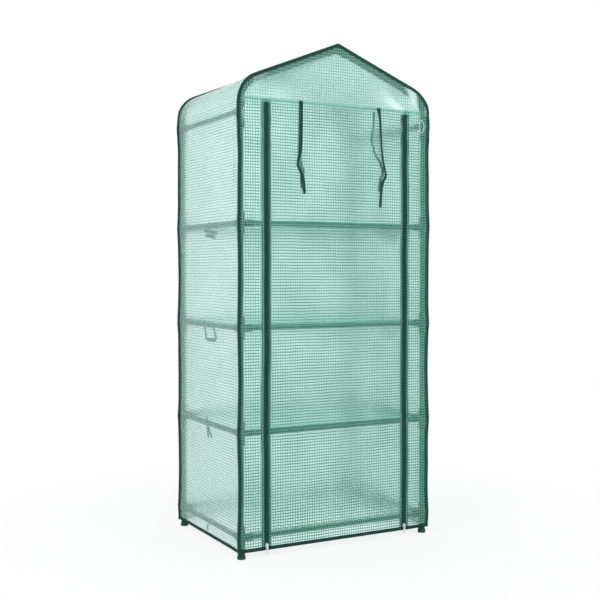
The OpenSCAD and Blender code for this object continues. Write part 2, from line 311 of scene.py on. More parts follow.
def tapeFinish(name, **changes):
    look = {**tapeLook, **changes}
    finish = Finish(name)
    along, across, place = finish.clothPlace()
    ribs = finish.lines(along, look["weave"], look["weave"] * 0.5, 0.0002)
    ends = finish.lines(across, look["weave"] * 1.3, look["weave"] * 0.6, 0.0002)
    weave = ribs * 0.6 + ends * 0.4
    faded = finish.speckle(place, 26.0, 4.0)
    dashes = finish.lines(along, look["stitchPitch"], look["stitchPitch"] * look["stitchShare"], 0.0003)
    stitches = None
    for row in look["rows"]:
        away = abs(across - row)
        line = finish.ramped(away, look["stitchWidth"] * 0.7, look["stitchWidth"] * 1.3, 1.0, 0.0) * dashes
        stitches = line if stitches is None else stitches.maths("MAXIMUM", stitches, line)
    cloth = finish.mixed(weave * 0.35 + faded * 0.6, look["dark"], look["light"])
    return finish.shade({
        "Base Color": finish.mixed(stitches, cloth, look["stitch"]),
        "Roughness": 0.72 + 0.2 * faded,
        "Normal": finish.bump(weave * 0.5 + stitches, 0.0004),
        "Specular IOR Level": 0.2,
    })


hemClothLook = {
    "dark": (0.001, 0.014, 0.010),
    "light": (0.004, 0.036, 0.026),
    "rows": (0.0027, 0.0123),
    "stitch": tapeLook["light"],
}
webbingLook = {"rows": (0.0016, 0.0124), "stitchPitch": 0.004}
tieClothLook = {
    "dark": (0.010, 0.095, 0.066),
    "light": (0.030, 0.160, 0.115),
    "rows": (0.0016, 0.0104),
    "stitchPitch": 0.004,
}
zipTapeLook = {
    "dark": (0.002, 0.034, 0.024),
    "light": (0.009, 0.066, 0.048),
    "rows": (0.0085,),
    "stitchPitch": 0.004,
}
whiteTapeLook = {
    "dark": (0.72, 0.76, 0.73),
    "light": (0.86, 0.89, 0.86),
    "rows": (0.002,),
    "stitchPitch": 0.004,
    "stitch": (0.9, 0.92, 0.9),
}
edgeTape = tapeFinish("edge_tape")
hemCloth = tapeFinish("hem_cloth", **hemClothLook)
webbing = tapeFinish("webbing", **webbingLook)
tieCloth = tapeFinish("tie_cloth", **tieClothLook)
zipTape = tapeFinish("zip_tape", **zipTapeLook)
whiteTape = tapeFinish("white_tape", **whiteTapeLook)

# rigid parts: painted tubes, moulded connectors and coated shelf wires
paintLook = {
    "dark": (0.005, 0.088, 0.060),
    "light": (0.012, 0.130, 0.092),
    "grain": 900.0,
    "roughness": 0.5,
    "gloss": 0.2,
}
plasticLook = {
    "dark": (0.005, 0.042, 0.030),
    "light": (0.012, 0.066, 0.048),
    "grain": 1500.0,
    "roughness": 0.55,
    "gloss": 0.2,
}
wireLook = {
    "dark": (0.22, 0.58, 0.46),
    "light": (0.32, 0.70, 0.57),
    "grain": 700.0,
    "roughness": 0.34,
    "gloss": 0.5,
}


def paintFinish(name, look):
    finish = Finish(name)
    place = finish.solidPlace()
    patches = finish.speckle(place, 14.0, 4.0)
    peel = finish.speckle(place, look["grain"], 2.0)
    edges = finish.ramped(finish.add("ShaderNodeNewGeometry", {}, {}, "Pointiness"), 0.52, 0.6)
    tint = finish.mixed(patches * 0.7 + edges * 0.3, look["dark"], look["light"])
    return finish.shade({
        "Base Color": tint,
        "Roughness": look["roughness"] + 0.18 * patches,
        "Normal": finish.bump(peel, 0.00012),
        "Specular IOR Level": look["gloss"],
    })


tubePaint = paintFinish("tube_paint", paintLook)
hubPlastic = paintFinish("hub_plastic", plasticLook)
shelfCoat = paintFinish("shelf_coat", wireLook)

# zips: each half is a stitched tape, with a ribbed coil along the edge where the halves meet
zipLook = {
    "gap": 0.0002,
    "halfWidth": 0.0165,
    "tapeThick": 0.0008,
    "bare": 0.0090,                # from the middle of the zip to the edge of the film over its tape
    "tuck": 0.010,                 # how far its top goes up under the gable seam
    "coil": 0.0024,
    "rib": 0.0016,
    "groove": 0.78,                # width of the coil between two ribs, beside its full width
    "flatness": 0.62,
    "coilDark": (0.003, 0.03, 0.022),
    "coilLight": (0.012, 0.07, 0.05),
    "metalDull": (0.55, 0.56, 0.57),
    "metalBright": (0.86, 0.87, 0.87),
}


def metalFinish():
    finish = Finish("zip_metal")
    place = finish.solidPlace()
    rubbed = finish.speckle(place, 220.0, 5.0)
    return finish.shade({
        "Base Color": finish.mixed(rubbed, zipLook["metalDull"], zipLook["metalBright"]),
        "Metallic": 0.85,
        "Roughness": 0.22 + 0.25 * rubbed,
        "Normal": finish.bump(rubbed, 0.00008),
    })


zipMetal = metalFinish()


def coilFinish():
    finish = Finish("zip_coil")
    along = finish.clothPlace()[0]
    teeth = finish.lines(along, zipLook["rib"], 0.0009, 0.0002)
    return finish.shade({
        "Base Color": finish.mixed(teeth, zipLook["coilDark"], zipLook["coilLight"]),
        "Roughness": 0.6 + 0.15 * teeth,
        "Normal": finish.bump(teeth, 0.0004),
        "Specular IOR Level": 0.2,
    })


zipCoil = coilFinish()
print("finishes made:", len(bpy.data.materials))

# measures of the cover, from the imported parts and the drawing
sideLow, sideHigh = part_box("side_panel_right")
gableLow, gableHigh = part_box("front_gable")
backLow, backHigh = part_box("back_panel")
filmThick = sideHigh[0] - sideLow[0]
wallX = (sideLow[0] + sideHigh[0]) / 2
hemZ = sideLow[2]
eaveZ = sideHigh[2]
frontY = (gableLow[1] + gableHigh[1]) / 2
backY = (backLow[1] + backHigh[1]) / 2
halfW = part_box("front_binding")[1][0]
roofPitch = radians(22)
eaveR = 0.088
arcX = halfW - eaveR
edgeInset = 0.0012               # the film ends this far inside the outer edge
filmR = eaveR - edgeInset
filmTop = eaveZ + filmR * cos(roofPitch) + (arcX + filmR * sin(roofPitch)) * tan(roofPitch)


def midOf(node, axis):
    low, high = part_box(node)
    return (low[axis] + high[axis]) / 2


railHeights = [midOf("shelf_rails_%d" % tier, 2) for tier in range(1, 5)] + [midOf("eave_rails", 2)]
railMid = midOf("shelf_rails_1", 1)
zipX = midOf("zip_slider_right", 0)
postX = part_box("posts")[1][0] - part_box("ridge_tube")[1][0]    # the posts and the ridge are the same tube

# how far the film stands off its flat place, metres
slackLook = {
    "cornerIn": 0.0020,     # corners drawn in between two rails
    "cornerOut": 0.0020,    # and pushed out by the connectors
    "wallSag": 0.0045,
    "roofSag": 0.0065,
    "wallRipple": 0.0016,
    "endRipple": 0.0010,
    "zipWander": 0.0024,
    "edgeWander": 0.0016,
    "eaveFold": 0.0016,
    "roofRipple": 0.0015,
    "reach": 0.045,         # how far into a panel the hold of its edges goes
    "zipReach": 0.06,
}


def smooth(low, high, value):
    t = min(max((value - low) / (high - low), 0), 1)
    return t * t * (3 - 2 * t)


def ripple(x, y, z):
    return noise.noise(Vector((x, y, z)))


# 0 where a rail holds the film, 1 half way between two rails
def slackAt(z):
    stops = [hemZ - 0.03, *railHeights, eaveZ + 0.08]
    for low, high in zip(stops, stops[1:]):
        if z < high:
            return sin(pi * max(0, (z - low) / (high - low))) * min(1, (high - low) / 0.25)
    return 0


# moves a point of the flat cover to where the loose film lies
def settle(p):
    x, y, z = p
    sideSign = -1 if x > 0 else 1
    endSign = 1 if y < 0 else -1
    under = 1 - smooth(eaveZ - 0.01, eaveZ + 0.07, z)
    nearSide = exp(-((wallX - abs(x)) / slackLook["reach"]) ** 2) * under
    nearEnd = exp(-(max(min(y - frontY, backY - y), 0) / slackLook["reach"]) ** 2)
    slack = slackAt(z)
    folds = ripple(x * 8 + 3, y * 8, z * 2.4) + 0.4 * ripple(x * 23, y * 23 + 5, z * 9)
    corner = slackLook["cornerIn"] * slack - slackLook["cornerOut"] * (1 - slack) ** 3
    corner += slackLook["edgeWander"] * ripple(sideSign * 3.7, endSign * 6.1, z * 11)
    sag = slackLook["wallSag"] * slack
    inX = nearSide * (corner * nearEnd + sag * (1 - nearEnd))
    inX += nearSide * slackLook["wallRipple"] * folds * (0.25 + 0.75 * slack)
    inY = nearEnd * slackLook["endRipple"] * (folds - 0.3) * (0.3 + 0.7 * max(slack, 1 - nearSide))
    wander = ripple(sideSign * 5.3, 1.7, z * 4.1) + 0.5 * ripple(sideSign * 2.1, 4.4, z * 10)
    wander *= smooth(hemZ + 0.03, hemZ + 0.16, z) * (1 - smooth(eaveZ - 0.12, eaveZ, z))
    onFront = nearEnd * (1 if y < 0 else 0)
    nearZip = exp(-((abs(x) - zipX) / slackLook["zipReach"]) ** 2)
    moveX = slackLook["zipWander"] * wander * nearZip * onFront
    # folds that run from the eave connectors into the gable
    dx, dz = foldLook["spot"][0] - abs(x), z - foldLook["spot"][1]
    reach = sqrt(dx * dx + dz * dz)
    fan = -sin(foldLook["waves"] * atan2(dz, dx) - foldLook["shift"] * sideSign)
    fan *= smooth(*foldLook["standFrom"], reach) * (1 - smooth(*foldLook["standTo"], reach))
    inY += nearEnd * slackLook["eaveFold"] * fan
    drop = 0
    if z > eaveZ + 0.02:
        drop = slackLook["roofSag"] * sin(pi * min(1, abs(x) / 0.29)) * smooth(0, 0.03, z - eaveZ)
        drop += slackLook["roofRipple"] * ripple(x * 9, y * 14, 2.2)
        drop *= 1 - nearEnd
    return Vector((x + sideSign * inX + moveX, y + endSign * inY, z - drop))


tapeSharp = 60    # degrees, a tape's edges that turn more than this stay sharp


class Sewn:    # mesh being sewn together from shells and swept tapes
    def __init__(self):
        self.points = []
        self.faces = []
        self.uvs = []
        self.looks = []

    def face(self, corners, look=0):
        self.faces.append(corners)
        self.looks.append(look)

    # closed thin shell over a grid of (point, normal, uv)
    def shell(self, grid, thick):
        first, rows, columns = len(self.points), len(grid), len(grid[0])
        for side in (0.5, -0.5):
            for row in grid:
                for point, normal, uv in row:
                    self.points.append(Vector(point) + Vector(normal) * thick * side)
                    self.uvs.append(uv)
        other = rows * columns

        def at(r, c, s):
            return first + s * other + r * columns + c

        for r in range(rows - 1):
            for c in range(columns - 1):
                self.face((at(r, c, 0), at(r, c + 1, 0), at(r + 1, c + 1, 0), at(r + 1, c, 0)))
                self.face((at(r, c, 1), at(r + 1, c, 1), at(r + 1, c + 1, 1), at(r, c + 1, 1)))
        rim = [(0, c) for c in range(columns)] + [(r, columns - 1) for r in range(1, rows)]
        rim += [(rows - 1, c) for c in range(columns - 2, -1, -1)]
        rim += [(r, 0) for r in range(rows - 2, 0, -1)]
        for (r, c), (r2, c2) in zip(rim, rim[1:] + rim[:1]):
            self.face((at(r, c, 0), at(r, c, 1), at(r2, c2, 1), at(r2, c2, 0)))

    # closed tape: rings of points, one ring at each step along it
    def sweep(self, rings, steps, widths, look=0, joined=False):
        first, size = len(self.points), len(rings[0])
        for ring, step in zip(rings, steps):
            for point, width in zip(ring, widths):
                self.points.append(Vector(point))
                self.uvs.append((step, width))
        count = len(rings)
        for r in range(count if joined else count - 1):
            for c in range(size):
                a, b = first + r * size, first + (r + 1) % count * size
                d = (c + 1) % size
                self.face((a + c, a + d, b + d, b + c), look)
        if not joined:
            self.face(tuple(range(first + size - 1, first - 1, -1)), look)
            self.face(tuple(range(first + (count - 1) * size, first + count * size)), look)

    def piece(self, name, finishes, sharp=50):
        mesh = bpy.data.meshes.new(name)
        mesh.from_pydata(self.points, [], self.faces)
        layer = mesh.uv_layers.new(name="cloth")
        for loop in mesh.loops:
            layer.data[loop.index].uv = self.uvs[loop.vertex_index]
        for finish in finishes:
            mesh.materials.append(finish)
        for polygon, look in zip(mesh.polygons, self.looks):
            polygon.material_index = look
        shaped = bmesh.new()
        shaped.from_mesh(mesh)
        bmesh.ops.recalc_face_normals(shaped, faces=shaped.faces)
        shaped.to_mesh(mesh)
        shaped.free()
        mesh.shade_smooth()
        mesh.set_sharp_from_angle(angle=radians(sharp))
        made = bpy.data.objects.new(name, mesh)
        scene.collection.objects.link(made)
        return made


def spread(low, high, step):
    count = max(1, round((high - low) / step))
    return [low + (high - low) * i / count for i in range(count + 1)]


cuts = []    # film panels with the size each was cut to


# film panel over a grid; flatPlace gives the flat point, its normal and the cloth coordinates
def filmPanel(name, rows, columns, flatPlace, finish, flat, nodes, held="hung", area=None):
    grid = []
    for r in rows:
        line = []
        for c in columns:
            point, normal, uv = flatPlace(r, c)
            line.append((settle(point), normal, uv))
        grid.append(line)
    sewn = Sewn()
    sewn.shell(grid, filmThick)
    made = sewn.piece(name, [finish])
    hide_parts(*nodes)
    cuts.append((made, {"flat": flat, "held": held, "area": area}))
    return made


# half the width of an end wall's film at a height
def halfWidth(z):
    turn = eaveZ + filmR * cos(roofPitch)
    if z <= eaveZ:
        return halfW - edgeInset
    if z < turn:
        return arcX + sqrt(max(filmR * filmR - (z - eaveZ) ** 2, 0))
    return max((turn - z) / tan(roofPitch) + arcX + filmR * sin(roofPitch), 0.0004)


# metres between neighbouring points of a mesh
meshStep = {
    "wallUp": 0.0135,
    "along": 0.0125,         # depth of the walls and roof, width of the door, length of the bindings
    "eaveBend": 0.009,
    "slope": 0.012,
    "gableBend": 0.008,
    "gableSlope": 0.009,
    "endShare": 0.036,       # a share of the half width, on the end walls
    "strip": 0.0096,
    "door": 0.0075,
    "tape": 0.012,           # hems, zips and the gable seam
}
sides = {"left": -1, "right": 1}

# walls and roof
wallRows = spread(hemZ, eaveZ, meshStep["wallUp"])
wallColumns = spread(frontY + filmThick / 2, backY - filmThick / 2, meshStep["along"])
roofR = filmR - filmThick / 2
roofArc = roofR * (pi / 2 - roofPitch)
roofRun = roofArc + (arcX + roofR * sin(roofPitch)) / cos(roofPitch)
roofRows = spread(0, roofArc, meshStep["eaveBend"])[:-1] + spread(roofArc, roofRun, meshStep["slope"])


def roofPlace(sign):    # places on a roof half, from the run round the eave and up the slope, and the depth
    def place(run, y):
        if run < roofArc:
            turn = run / roofR
            nx, nz = cos(turn), sin(turn)
            x, z = arcX + roofR * nx, eaveZ + roofR * nz
        else:
            nx, nz = sin(roofPitch), cos(roofPitch)
            x = arcX + roofR * nx - (run - roofArc) * nz
            z = eaveZ + roofR * nz + (run - roofArc) * nx
        return (sign * x, y, z), (sign * nx, 0, nz), (y, eaveZ + run)
    return place


for side, sign in sides.items():
    wall = filmPanel("cover_wall_" + side, wallRows, wallColumns,
                     lambda z, y: ((sign * wallX, y, z), (sign, 0, 0), (y, z)),
                     wallFilm, (backY - frontY, eaveZ - hemZ), ["side_panel_" + side])
    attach(wall, "frame")
    roof = filmPanel("cover_roof_" + side, roofRows, wallColumns, roofPlace(sign), roofFilm,
                     (backY - frontY, roofRun), ["roof_panel_" + side], "stretched")
    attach(roof, "frame")

shareColumns = spread(-1, 1, meshStep["endShare"])
bendTop = eaveZ + eaveR * cos(roofPitch)
gableRows = spread(eaveZ, bendTop, meshStep["gableBend"])[:-1]
gableRows += spread(bendTop, filmTop - 0.0002, meshStep["gableSlope"])
gableArea = sum((halfWidth(a) + halfWidth(b)) * (b - a) for a, b in zip(gableRows, gableRows[1:]))


def endPlace(y, outward):    # places on an end wall, from a height and a share of the half width there
    def place(z, share):
        x = share * halfWidth(z)
        return (x, y, z), (0, outward, 0), (x, z)
    return place


back = filmPanel("cover_back", wallRows[:-1] + gableRows, shareColumns, endPlace(backY, 1), wallFilm,
                 (2 * wallX, filmTop - hemZ), ["back_panel"], area=2 * wallX * (eaveZ - hemZ) + gableArea)
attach(back, "frame")
gable = filmPanel("cover_gable", gableRows, shareColumns, endPlace(frontY, -1), gableFilm,
                  (2 * wallX, filmTop - eaveZ), ["front_gable"], "stretched", gableArea)
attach(gable, "frame")
stripEdge = zipX + zipLook["bare"]
stripColumns = spread(stripEdge, halfW - edgeInset, meshStep["strip"])
for side, sign in sides.items():
    strip = filmPanel("cover_strip_" + side, wallRows, stripColumns,
                      lambda z, x: ((sign * x, frontY, z), (0, -1, 0), (sign * x, z)),
                      doorFilm, (halfW - edgeInset - stripEdge, eaveZ - hemZ), ["front_strip_" + side])
    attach(strip, "frame")
print("cover walls and roof made")


# outline of an end wall from hem to hem: each point, its inward direction and its stretch at the mitre
def outlinePath():
    step = meshStep["along"]
    half = [(halfW, z, -1, 0, 1) for z in spread(hemZ, eaveZ, step)]
    for turn in spread(0, pi / 2 - roofPitch, step / eaveR)[1:]:
        half.append((arcX + eaveR * cos(turn), eaveZ + eaveR * sin(turn), -cos(turn), -sin(turn), 1))
    length = (arcX + eaveR * sin(roofPitch)) / cos(roofPitch)
    for run in spread(0, length, step)[1:]:
        nx, nz = sin(roofPitch), cos(roofPitch)
        x = arcX + eaveR * nx - run * nz
        half.append((max(x, 0), eaveZ + eaveR * nz + run * nx, -nx, -nz, 1))
    apex = half.pop()
    left = [(-x, z, -nx, nz, s) for x, z, nx, nz, s in half]
    return left + [(0, apex[1], 0, -1, 1 / cos(roofPitch))] + half[::-1]


# profile: (distance in from the edge, distance out from the film's face)
def edgeSweep(sewn, faceY, outward, profile):
    rings, steps, run, last = [], [], 0, None
    for x, z, nx, nz, stretch in outlinePath():
        nx, nz = nx * stretch, nz * stretch
        ring = [settle((x + nx * w, faceY + outward * d, z + nz * w)) for w, d in profile]
        run += (ring[0] - last).length if last else 0
        last = ring[0]
        rings.append(ring)
        steps.append(run)
    widths = [0]
    for (w, d), (w2, d2) in zip(profile, profile[1:]):
        widths.append(widths[-1] + sqrt((w - w2) ** 2 + (d - d2) ** 2))
    sewn.sweep(rings, steps, widths)


# bindings: tape folded over the joined edges, so that it stands round along the corner
bindingProfile = [
    (0.0065, 0.0001), (0.0062, 0.0011), (0.0047, 0.0025), (0.0025, 0.0037), (0.0003, 0.0041),
    (-0.0021, 0.0034), (-0.0037, 0.0014), (-0.0041, -0.0009), (-0.0032, -0.0029), (-0.0016, -0.0046),
    (-0.0003, -0.0053), (0.0008, -0.0055), (0.0010, -0.0047), (0.0010, -0.0010), (0.0021, -0.0001),
]
# seam tape inside the side film
seamTape = [(0.00206, -0.0012), (0.00246, -0.0012), (0.00246, -0.0165), (0.00206, -0.0165)]
for name, faceY, outward, node in (
        ("edge_binding_front", gableLow[1], -1, "front_binding"),
        ("edge_binding_back", backHigh[1], 1, "back_binding")):
    sewn = Sewn()
    edgeSweep(sewn, faceY, outward, bindingProfile)
    edgeSweep(sewn, faceY, outward, seamTape)
    binding = sewn.piece(name, [edgeTape], tapeSharp)
    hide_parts(node)
    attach(binding, "frame")

# folded seam between gable and door
seamFold = {
    "half": 0.330,
    "up": (0.003, 0.013),    # its lower and upper edge above the eaves
    "off": 0.0004,
    "thick": 0.0006,
    "step": 0.004,
}
seamColumns = spread(-seamFold["half"], seamFold["half"], meshStep["tape"])
seamRows = spread(eaveZ + seamFold["up"][0], eaveZ + seamFold["up"][1], seamFold["step"])
seamGrid = [[(settle((x, gableLow[1] - seamFold["off"], z)), (0, -1, 0), (x, z)) for x in seamColumns]
            for z in seamRows]
sewn = Sewn()
sewn.shell(seamGrid, seamFold["thick"])
gableSeam = sewn.piece("gable_seam", [seamFilm])
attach(gableSeam, "frame")

# hem: tape folded round the bottom edge, one length on each wall
hemLook = {
    "height": 0.0105,
    "thick": 0.0008,
    "round": 0.0006,      # how far the fold and the edges are rounded
    "width": 0.015,       # of the tape, for its weave
    "wallGap": 0.009,     # from the ends of the side hems to the film of the end walls
    "endGap": 0.0060,     # from the ends of the front and back hems to the outer edge
    "zipGap": 0.0062,     # from the middle of a zip to the strip's hem
    "doorGap": 0.0032,    # and to the door's hem
}


def hemProfile():
    h, t, f, r = hemLook["height"], hemLook["thick"], filmThick / 2, hemLook["round"]
    return [(h, f), (h - r, f + t), (h / 2, f + t * 1.1), (0.0008, f + t), (-r, f),
            (-r, -f), (0.0008, -f - t), (h / 2, -f - t * 1.1), (h - r, -f - t), (h, -f),
            (0.0012, -f + 0.0001), (0.0012, f - 0.0001)]


def hemSweep(sewn, ends, outward):
    start, stop = Vector((*ends[0], hemZ)), Vector((*ends[1], hemZ))
    length = (stop - start).length
    rings, steps = [], spread(0, length, meshStep["tape"])
    profile = hemProfile()
    for step in steps:
        spot = start.lerp(stop, step / length)
        ring = [(spot.x + outward[0] * d, spot.y + outward[1] * d, spot.z + up) for up, d in profile]
        rings.append([settle(point) for point in ring])
    widths = [hemLook["width"] * i / (len(profile) - 1) for i in range(len(profile))]
    sewn.sweep(rings, steps, widths)


hemEnd = halfW - hemLook["endGap"]
sewn = Sewn()
for sign in sides.values():
    wallEnds = frontY + hemLook["wallGap"], backY - hemLook["wallGap"]
    hemSweep(sewn, [(sign * wallX, y) for y in wallEnds], (sign, 0))
    hemSweep(sewn, [(sign * x, frontY) for x in (zipX + hemLook["zipGap"], hemEnd)], (0, -1))
hemSweep(sewn, ((-hemEnd, backY), (hemEnd, backY)), (0, 1))
hem = sewn.piece("hem_tape", [hemCloth], tapeSharp)
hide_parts("hem_binding")
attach(hem, "frame")
print("bindings, seams and hem made")


# one half of a zip from low to high; direction points away from the coil
def zipHalf(sewn, sign, direction, low, high):
    edge = zipX + direction * zipLook["gap"] / 2
    far = edge + direction * (zipLook["halfWidth"] - zipLook["gap"] / 2)
    columns = [edge + (far - edge) * c / 4 for c in range(5)]
    tapeY = frontY + filmThick
    grid = [[(settle((sign * x, tapeY, z)), (0, -1, 0), (z, abs(x - far) + 0.0001)) for x in columns]
            for z in spread(low, high, meshStep["tape"])]
    sewn.shell(grid, zipLook["tapeThick"])
    middle = edge + direction * zipLook["coil"] / 2
    rings, steps = [], spread(low, high, zipLook["rib"] / 2)
    for i, z in enumerate(steps):
        r = zipLook["coil"] / 2 * (1.0 if i % 2 else zipLook["groove"])
        turns = [t * pi / 4 for t in range(8)]
        ring = [(middle + r * cos(turn), frontY - zipLook["flatness"] * r * sin(turn)) for turn in turns]
        rings.append([settle((sign * x, y, z)) for x, y in ring])
    sewn.sweep(rings, steps, [c * 0.0009 for c in range(8)], 1)


sewn = Sewn()
for sign in sides.values():
    zipHalf(sewn, sign, 1, hemZ, eaveZ + zipLook["tuck"])
tracks = sewn.piece("zip_fixed_halves", [zipTape, zipCoil], tapeSharp)
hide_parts("zip_tracks")
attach(tracks, "frame")

# door: one sheet, cut in the middle of each strip so that every length holds one fold
doorLook = {
    "strips": 16,
    "ratio": 0.93,           # length of a strip beside the one above it
    "top": 0.140,            # fixed length above the first fold
    "roundness": 0.42,       # share of the shorter neighbour that bends at a fold
}
doorDrop = eaveZ - doorLook["top"] - hemZ
firstStrip = doorDrop * (1 - doorLook["ratio"]) / (1 - doorLook["ratio"] ** doorLook["strips"])
folds = [eaveZ - doorLook["top"] - firstStrip * (1 - doorLook["ratio"] ** k) / (1 - doorLook["ratio"])
         for k in range(doorLook["strips"] + 1)]
doorHalf = zipX - zipLook["bare"]
doorBodies = ["frame"] + ["door_slat_%02d" % k for k in range(1, doorLook["strips"] + 1)]
for k in range(1, doorLook["strips"] + 1):
    fold = folds[k - 1]
    last = k == doorLook["strips"]
    high = eaveZ if k == 1 else (folds[k - 2] + fold) / 2
    low = hemZ if last else (fold + folds[k]) / 2
    above = doorLook["top"] if k == 1 else folds[k - 2] - fold
    bend = doorLook["roundness"] * min(above, fold - folds[k])
    start, end = (0, frontY, fold + bend), (0, frontY, fold - bend)
    rows = spread(low, high, meshStep["door"])
    film = filmPanel("door_film_%02d" % k, rows, spread(-doorHalf, doorHalf, meshStep["along"]),
                     lambda z, x: ((x, frontY, z), (0, -1, 0), (x, z)),
                     doorFilm, (2 * doorHalf, high - low),
                     ["door_slat_%02d" % k] + (["door_top"] if k == 1 else []))
    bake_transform(film)
    sewn = Sewn()
    for sign in sides.values():
        zipHalf(sewn, sign, -1, low, high + (zipLook["tuck"] if k == 1 else 0))
    halves = sewn.piece("door_zip_%02d" % k, [zipTape, zipCoil], tapeSharp)
    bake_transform(halves)
    if last:
        sewn = Sewn()
        doorEnd = zipX - hemLook["doorGap"]
        hemSweep(sewn, ((-doorEnd, frontY), (doorEnd, frontY)), (0, -1))
        doorHem = sewn.piece("door_hem", [hemCloth], tapeSharp)
        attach(doorHem, doorBodies[k])
print("door made:", doorLook["strips"], "lengths")


# flat ribbon through stations of (x, y, z, turn); a turn of 0 faces the front, 90 shows its edge
def ribbonGrid(stations):
    width, step = strapLook["width"], strapLook["step"]
    points = [Vector(s[:3]) for s in stations]
    grid, run = [], 0
    for i in range(len(stations) - 1):
        before = points[max(i - 1, 0)]
        after = points[min(i + 2, len(points) - 1)]
        length = (points[i + 1] - points[i]).length
        for t in spread(0, 1, step / length)[:-1] + ([1] if i == len(stations) - 2 else []):
            spot = 0.5 * (2 * points[i] + (points[i + 1] - before) * t
                          + (2 * before - 5 * points[i] + 4 * points[i + 1] - after) * t ** 2
                          + (3 * points[i] - before - 3 * points[i + 1] + after) * t ** 3)
            turn = radians(stations[i][3] + (stations[i + 1][3] - stations[i][3]) * (t * t * (3 - 2 * t)))
            across = Vector((cos(turn), -sin(turn), 0))
            normal = Vector((-sin(turn), -cos(turn), 0))
            grid.append([(spot + across * (c - 0.5) * width, normal, (run + t * length, c * width))
                         for c in (0, 0.25, 0.5, 0.75, 1)])
        run += length
    return grid


# tie straps: sewn in at the gable seam, the upper half ends half way to the fold
strapLook = {
    "width": 0.014,
    "thick": 0.0011,
    "step": 0.006,
    "upper": 0.172,          # from the seam to the fold
    "seamBend": 0.012,       # length that bends at the seam
    "foldBend": 0.045,       # half of the length that bends at the fold
    "inside": 0.0016,        # from the film to the straps inside the door
    "innerLength": 0.252,
}
strapY = gableLow[1] - strapLook["thick"]
strapStations = {
    "left": [(-0.1335, 0, 1.3950, 0), (-0.1340, -0.0034, 1.345, -22), (-0.1345, -0.0040, 1.285, -26),
             (-0.1375, -0.0040, 1.238, -30), (-0.1475, -0.0052, 1.206, -34), (-0.1440, -0.0046, 1.190, -20),
             (-0.1320, -0.0036, 1.170, -18), (-0.1255, -0.0034, 1.142, -26),
             (-0.1230, -0.0034, 1.110, -26)],
    "right": [(0.1500, 0, 1.3940, -4), (0.1530, -0.0046, 1.350, -34), (0.1560, -0.0050, 1.300, -36),
              (0.1600, -0.0050, 1.250, -36), (0.1680, -0.0052, 1.205, -32), (0.1745, -0.0054, 1.178, -30),
              (0.1650, -0.0046, 1.160, -20), (0.1590, -0.0040, 1.136, -28), (0.1550, -0.0036, 1.076, -24)],
}
for side in sides:
    stations = [(x, strapY + y, z, turn) for x, y, z, turn in strapStations[side]]
    grid = ribbonGrid(stations)
    foldAt = eaveZ - strapLook["upper"]
    halfAt = eaveZ - strapLook["upper"] / 2
    cut = min(range(len(grid)), key=lambda i: abs(grid[i][2][0].z - halfAt))
    upperBody, lowerBody = "strap_%s_upper" % side, "strap_%s_lower" % side
    for half, rows, bodies, start, end in (
            ("top", grid[:cut + 1], ("frame", upperBody), eaveZ, eaveZ - strapLook["seamBend"]),
            ("tail", grid[cut:], (upperBody, lowerBody),
             foldAt + strapLook["foldBend"], foldAt - strapLook["foldBend"])):
        sewn = Sewn()
        sewn.shell(rows, strapLook["thick"])
        strap = sewn.piece("tie_strap_%s_%s" % (side, half), [webbing])
        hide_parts(bodies[1])    # each half's node has the name of its body
        rows[-1][0][2][0] - rows[0][0][2][0]
        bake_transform(strap)

# webbing inside the door
innerY = gableHigh[1] + strapLook["inside"]
innerStations = {
    "left": [(-0.1320, 0.0030, 1.379, -20), (-0.1325, 0.0030, 1.330, -24), (-0.1340, 0.0030, 1.275, -24),
             (-0.1340, 0.0026, 1.215, -20), (-0.1250, 0.0020, 1.186, -10), (-0.1270, 0.0020, 1.160, -14),
             (-0.1250, 0.0020, 1.127, -10)],
    "right": [(0.1370, 0.0034, 1.379, -30), (0.1330, 0.0034, 1.330, -32), (0.1300, 0.0034, 1.285, -30),
              (0.1420, 0.0030, 1.245, -24), (0.1600, 0.0030, 1.220, -24), (0.1690, 0.0030, 1.190, -26),
              (0.1600, 0.0030, 1.160, -24), (0.1570, 0.0030, 1.127, -24)],
}
sewn = Sewn()
for side in sides:
    stations = [(x, innerY + y, z, turn) for x, y, z, turn in innerStations[side]]
    sewn.shell(ribbonGrid(stations), strapLook["thick"])
innerStraps = sewn.piece("door_inner_straps", [webbing])
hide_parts("inner_straps")
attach(innerStraps, "frame")

# tapes that tie the walls to the side rails: a loop round the tube, and loose ends against the wall
tieLook = {
    "width": 0.012,
    "thick": 0.0008,
    "loop": 0.00865,      # inner radius
    "behind": 0.0014,     # from the film to the loose ends
    "corners": 20,
    "step": 0.0027,       # metres of weave from one corner of the loop to the next
}
tieEnds = [    # for each level from the ground up: runs of (depth, height) from the loop
    [
        [(0.004, -0.008), (0.008, -0.020), (0.010, -0.030)],
    ],
    [
        [(0.010, 0.024), (0.004, -0.008), (0.000, -0.046)],
        [(-0.002, -0.006), (-0.014, -0.026), (-0.030, -0.040)],
    ],
    [
        [(0.024, 0.012), (0.021, -0.012), (0.015, -0.046)],
        [(-0.038, 0.010), (-0.050, -0.012), (-0.066, -0.040)],
        [(0.010, -0.047), (-0.028, -0.047), (-0.064, -0.043)],
    ],
    [
        [(0.030, -0.014), (-0.010, -0.019), (-0.072, -0.026)],
        [(0.018, -0.030), (-0.020, -0.034), (-0.060, -0.040)],
    ],
]


